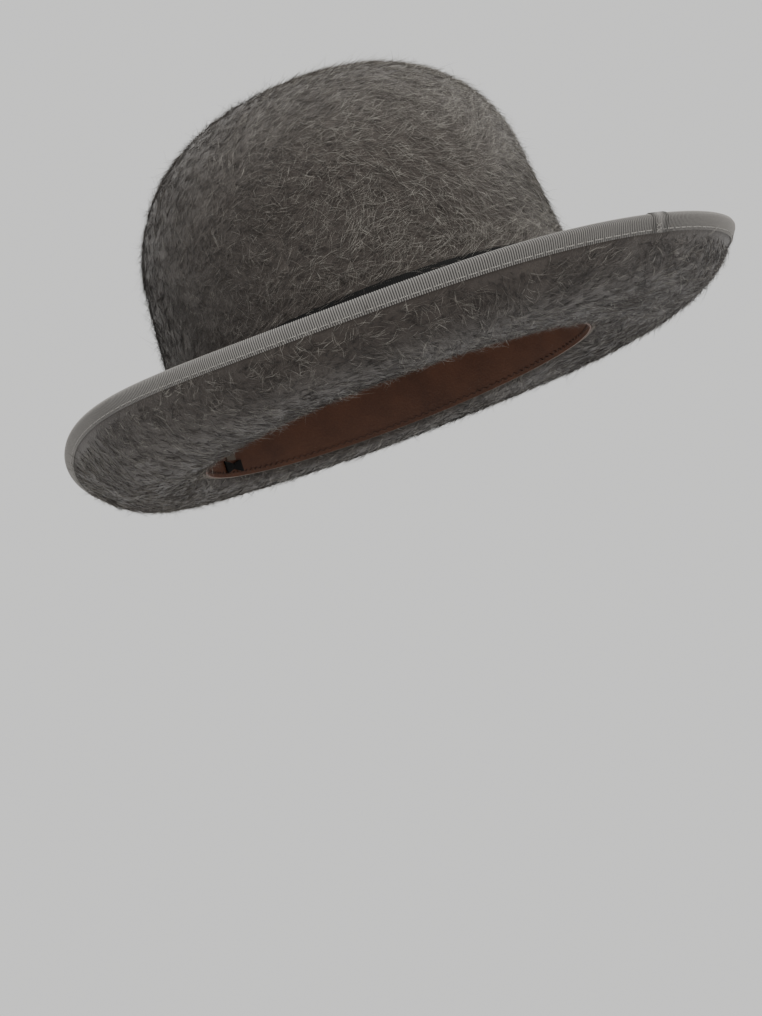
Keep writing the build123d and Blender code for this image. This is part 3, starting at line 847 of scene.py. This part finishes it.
# %% Lining
lining_mid = -crown_thickness / 2 - gap - lining / 2
seam_at = taper + math.radians(42)
ring = np.linspace(-np.pi, np.pi, 721)[:, None]
side_line = crown_over(lining_mid, 34.0, steps=(20, 14, 2), turn_to=seam_at)
fade = np.linspace(0, 1, len(side_line))[None]
pleat = 0.17 * np.cos(ring * 120) * fade - 0.25 * fade
centre_way = side_line - np.array([0, 40])
centre_way = centre_way / np.linalg.norm(centre_way, axis=1, keepdims=True)
side_section = side_line[None] + centre_way[None] * pleat[..., None]
satin = 0.25 * mm
lining_side = closed_up(wrapped("lining_side_satin", on_head(ring, side_section)), thickness=satin, smooth=60)
finished(lining_side, "satin", satin_finish, "lining_side")
tip_line = crown_over(lining_mid - 0.1, None, steps=(2, 14, 30), turn_from=seam_at + 0.002)
tip_ring = np.linspace(-np.pi, np.pi, 193)[:, None]
tip_section = np.broadcast_to(tip_line, (193, *tip_line.shape))
lining_tip = closed_up(wrapped("lining_tip_satin", on_head(tip_ring, tip_section)), thickness=satin, smooth=60)
finished(lining_tip, "satin", satin_finish, "lining_tip")
cord_line = shoulder_line - crown_thickness / 2 - gap - lining - gap - 1.0
cord_centre = shoulder_centre + heading(np.array(seam_at)) * cord_line
pipe_turn = np.linspace(-np.pi, np.pi, 481)[:, None]
plump = 0.95 + 0.05 * np.cos(pipe_turn * 120)
spokes = np.linspace(0, 2 * np.pi, 11)[None]
pipe_section = cord_centre + heading(spokes + 0 * pipe_turn) * plump[..., None]
piping = closed_up(wrapped("piping_cord", on_head(pipe_turn, pipe_section)), smooth=90)
finished(piping, "satin_piping", piping_finish, "lining_piping")

# %% [markdown]
# ## The cloth pieces
# Every ribbon, tape and lining was a flat strip before it was sewn on. The table gives each piece with its
# stock width, how it is held and what it rests on; the loop only works out the area of one side of each.
# The lengths are worked back from the area of the finished piece, so they follow the model and don't test
# it, and 10 mm is the least width or length that can be declared.

for piece, width, held, rests in (
    (binding, 0.0145, "folded", ["felt_body"]),
    (binding_lap, 0.0145, "folded", ["binding_ribbon"]),
    (band, 0.0305, "stretched", ["felt_body"]),
    (tail, 0.0285, "laid", ["band_ribbon"]),
    (sides[0], 0.0280, "folded", ["bow_tail_ribbon"]),
    (sides[1], 0.0280, "folded", ["bow_tail_ribbon"]),
    (knot, 0.0150, "folded", ["bow_loop_front"]),
    (outer_tape, 0.0100, "folded", ["sweatband_leather"]),
    (seam_tape, 0.0100, "laid", ["sweatband_leather"]),
    (rear_bow, 0.0100, "gathered", ["sweatband_leather"]),
    (lining_side, 0.0800, "gathered", ["felt_body"]),
    (lining_tip, 0.1300, "laid", ["felt_body"]),
):
    side = half_area(piece)

# %% [markdown]
# ## Studio
# A pale floor, a pale surround and soft lights. The camera looks up at the hat from below the brim, so
# the floor can only be seen from above, and it doesn't shade the underside.

# %% Floor, lights and surround
deselect()
bpy.ops.mesh.primitive_plane_add(size=30, location=(0, 0, 0))
floor = bpy.context.object
floor.name = "floor"
floor_finish = bpy.data.materials.new("pale_floor")
floor_finish.use_nodes = True
tree = floor_finish.node_tree
shader = tree.nodes["Principled BSDF"]
shader.inputs["Base Color"].default_value = (0.72, 0.71, 0.7, 1)
shader.inputs["Roughness"].default_value = 0.8
clear = tree.nodes.new("ShaderNodeBsdfTransparent")
side = tree.nodes.new("ShaderNodeNewGeometry")
either = tree.nodes.new("ShaderNodeMixShader")
tree.links.new(side.outputs["Backfacing"], either.inputs[0])
tree.links.new(shader.outputs[0], either.inputs[1])
tree.links.new(clear.outputs[0], either.inputs[2])
tree.links.new(either.outputs[0], tree.nodes["Material Output"].inputs["Surface"])
floor.data.materials.append(floor_finish)
floor.visible_shadow = floor.visible_diffuse = floor.visible_glossy = False

world = bpy.data.worlds.new("pale_surround")
bpy.context.scene.world = world
world.use_nodes = True
surround = world.node_tree.nodes["Background"]
surround.inputs["Color"].default_value = (0.90, 0.90, 0.89, 1)
surround.inputs["Strength"].default_value = 1.0


def soft_light(name, place, size, power, colour, aim=(0, 0, 0.06)):
    lamp = bpy.data.lights.new(name, "AREA")
    lamp.size, lamp.energy, lamp.color = size, power, colour
    holder = bpy.data.objects.new(name, lamp)
    holder.location = place
    holder.rotation_euler = (Vector(aim) - Vector(place)).to_track_quat("-Z", "Y").to_euler()
    bpy.context.collection.objects.link(holder)
    return holder


soft_light("window_right", (-0.5, -1.5, 1.2), 0.9, 22, (1.0, 0.99, 0.95))
soft_light("ceiling", (-0.3, 0.1, 1.6), 1.2, 12, (0.97, 1.0, 0.97))

# %% Camera
eye, aim, roll = Vector((-0.5749, -0.2794, -0.0862)), Vector((-0.0003, 0.0293, -0.0364)), -19.82
lens = bpy.data.cameras.new("camera")
lens.sensor_width, lens.lens, lens.clip_start = 36, 50.25, 0.01
camera = bpy.data.objects.new("camera", lens)
camera.location = eye
turn_to = (aim - eye).to_track_quat("-Z", "Y").to_matrix()
camera.rotation_euler = (turn_to @ Matrix.Rotation(math.radians(roll), 3, "Z")).to_euler()
bpy.context.collection.objects.link(camera)
bpy.context.scene.camera = camera

# %% Finish
deselect()
